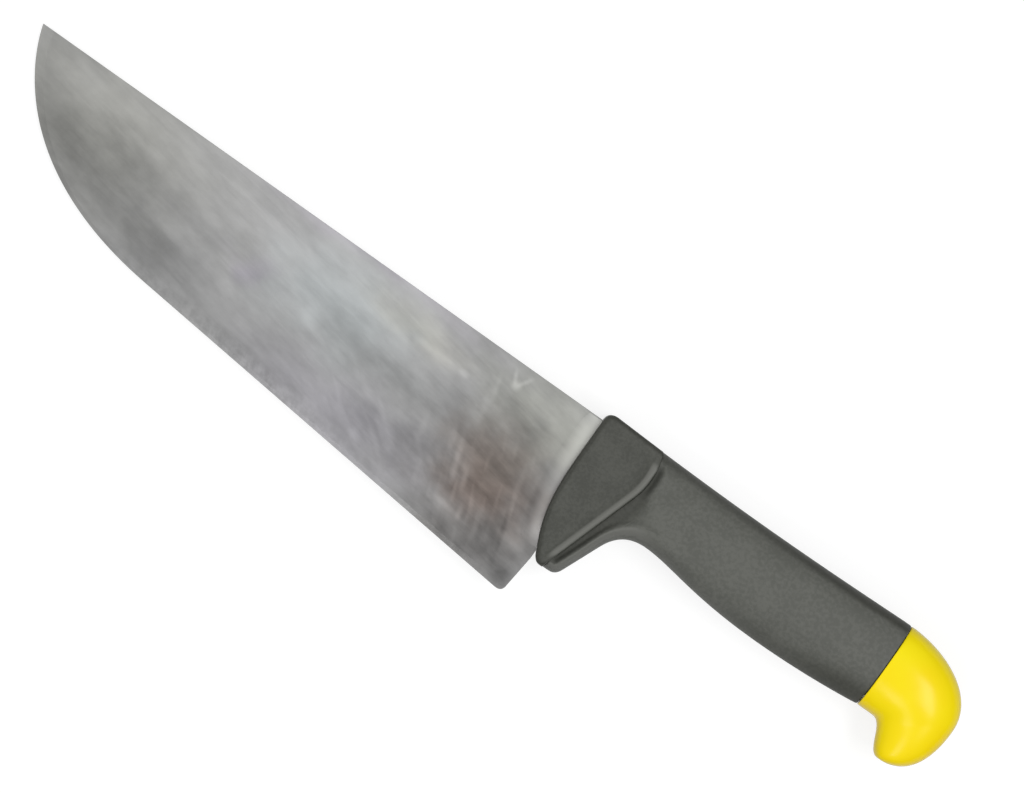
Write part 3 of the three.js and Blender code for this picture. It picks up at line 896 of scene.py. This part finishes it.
# Painted shade along the cap's rim, darkest near its middle plane.
for vert in cap.verts:
    vert[rim_shade] = smooth(abs(vert.co.z) / mm, 4.5, 1)
bmesh.ops.translate(cap, verts=cap.verts, vec=(0, 0, middle))

gloss_yellow, tree, shader, coords = finish_named("gloss_yellow")
mottle = clouds(tree, coords, 40, 3)
yellow = toned(tree, mottle, (1, 0.735, 0.002), (1, 0.83, 0.003))
# Painted shade along the rim.
yellow = tinted(tree, yellow, attribute(tree, "rim_shade"), (0.87, 0.85, 0.8))
shader.inputs["Specular IOR Level"].default_value = 0.2
tree.links.new(yellow, shader.inputs["Base Color"])
tree.links.new(ranged(tree, mottle, 0.19, 0.3), shader.inputs["Roughness"])
end_cap = piece_from(cap, "hooked_cap", ["end_cap"], [gloss_yellow])
rounding = end_cap.modifiers.new("rounding", "SUBSURF")
rounding.levels = rounding.render_levels = 2

# Core and rivets: two rigid plastic halves that clamp the tang inside the grip, and the steel
# rivets through them. They are hidden once the handle is moulded.
core_grey, tree, shader, coords = finish_named("core_grey")
grey = toned(tree, clouds(tree, coords, 300, 4), (0.2, 0.2, 0.19), (0.24, 0.24, 0.23), 0, 1)
tree.links.new(grey, shader.inputs["Base Color"])
rivet_steel, tree, shader, coords = finish_named("rivet_steel")
shader.inputs["Metallic"].default_value = 1
shader.inputs["Base Color"].default_value = (0.56, 0.56, 0.55, 1)
turned_rough = ranged(tree, clouds(tree, coords, 1500, 2), 0.25, 0.5)
tree.links.new(turned_rough, shader.inputs["Roughness"])
hidden = {
    "core_left": core_grey, "core_right": core_grey, "rivet_front": rivet_steel,
    "rivet_middle": rivet_steel, "rivet_rear": rivet_steel,
}
for node, material in hidden.items():
    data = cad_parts[node].data
    data.materials.clear()
    data.materials.append(material)

# Stage: the knife lies on a pale floor, tipped forward onto the tip of its blade, in a soft
# room that is brightest overhead, under three panels of light.
tip_low = Vector((blade_low.x, 0, middle - 1.0 * mm))
rest_edge = Vector((bolster_front + 1.1 * mm, 0, 0))
floor_gap = Vector((0, 0, 0.05 * mm))
floor_glow = 0.78
tilt = math.atan2(tip_low.z - rest_edge.z, rest_edge.x - tip_low.x)
board = bmesh.new()
bmesh.ops.create_grid(board, x_segments=1, y_segments=1, size=3)
bmesh.ops.rotate(board, verts=board.verts, matrix=Matrix.Rotation(tilt, 3, "Y"))
bmesh.ops.translate(board, verts=board.verts, vec=rest_edge - floor_gap)
floor_data = bpy.data.meshes.new("floor")
board.to_mesh(floor_data)
board.free()
pale_floor, tree, shader, coords = finish_named("pale_floor")
shader.inputs["Base Color"].default_value = (0.3, 0.3, 0.3, 1)
shader.inputs["Roughness"].default_value = 0.9
shader.inputs["Specular IOR Level"].default_value = 0
shader.inputs["Emission Color"].default_value = (1, 1, 1, 1)
rays = add(tree, "LightPath").outputs
seen = plus(tree, 0, [
    (rays[kind], floor_glow) for kind in ("Is Camera Ray", "Is Glossy Ray", "Is Transmission Ray")
])
tree.links.new(seen, shader.inputs["Emission Strength"])
floor_data.materials.append(pale_floor)
floor = bpy.data.objects.new("floor", floor_data)
bpy.context.scene.collection.objects.link(floor)

world = bpy.data.worlds.new("soft_room")
world.use_nodes = True
tree = world.node_tree
facing = add(tree, "VectorMath", {
    0: add(tree, "TexCoord").outputs["Generated"], 1: (0, 0, 1),
}, operation="DOT_PRODUCT")
overhead = add(tree, "Math", {0: facing.outputs["Value"], 1: 0}, operation="MAXIMUM")
room_glow = plus(tree, 0.1, [(overhead.outputs[0], 0.6)])
tree.links.new(room_glow, tree.nodes["Background"].inputs["Strength"])
tree.nodes["Background"].inputs["Color"].default_value = (1, 1, 1, 1)
bpy.context.scene.world = world


def soft_box(name, turn, steep, wide, tall, glow):
    """A panel of light that faces the knife, as bright all over as its glow says."""
    data = bpy.data.lights.new(name, "AREA")
    data.shape = "RECTANGLE"
    data.size = wide
    data.size_y = tall
    data.energy = glow * math.pi * wide * tall
    lamp = bpy.data.objects.new(name, data)
    turn, steep = math.radians(turn), math.radians(steep)
    reach = math.cos(steep)
    away = Vector((math.cos(turn) * reach, math.sin(turn) * reach, math.sin(steep)))
    lamp.location = 1.4 * away
    lamp.rotation_euler = away.to_track_quat("Z", "Y").to_euler()
    bpy.context.scene.collection.objects.link(lamp)


soft_box("cap_side", 16, 60, 0.75, 0.33, 8.2)
soft_box("tip_side", 188, 28, 0.6, 0.6, 3)
soft_box("edge_side", 290, 62, 0.36, 0.4, 5)

# Camera: straight above the knife, turned so that the blade runs to the upper left, and far
# enough away that the whole knife fits with a little room.
roll = math.radians(35.33)
view_width = 1024 / 3.118 * mm
view_centre = place(-28.2, -10.7)
lens = 200
sensor = 36
camera_data = bpy.data.cameras.new("camera")
camera_data.lens = lens
camera_data.sensor_width = sensor
camera = bpy.data.objects.new("camera", camera_data)
camera.location = (view_centre.x, view_centre.y, middle + view_width * lens / sensor)
camera.rotation_euler = (0, 0, roll)
bpy.context.scene.collection.objects.link(camera)
bpy.context.scene.camera = camera
bpy.context.scene.view_settings.view_transform = "Standard"
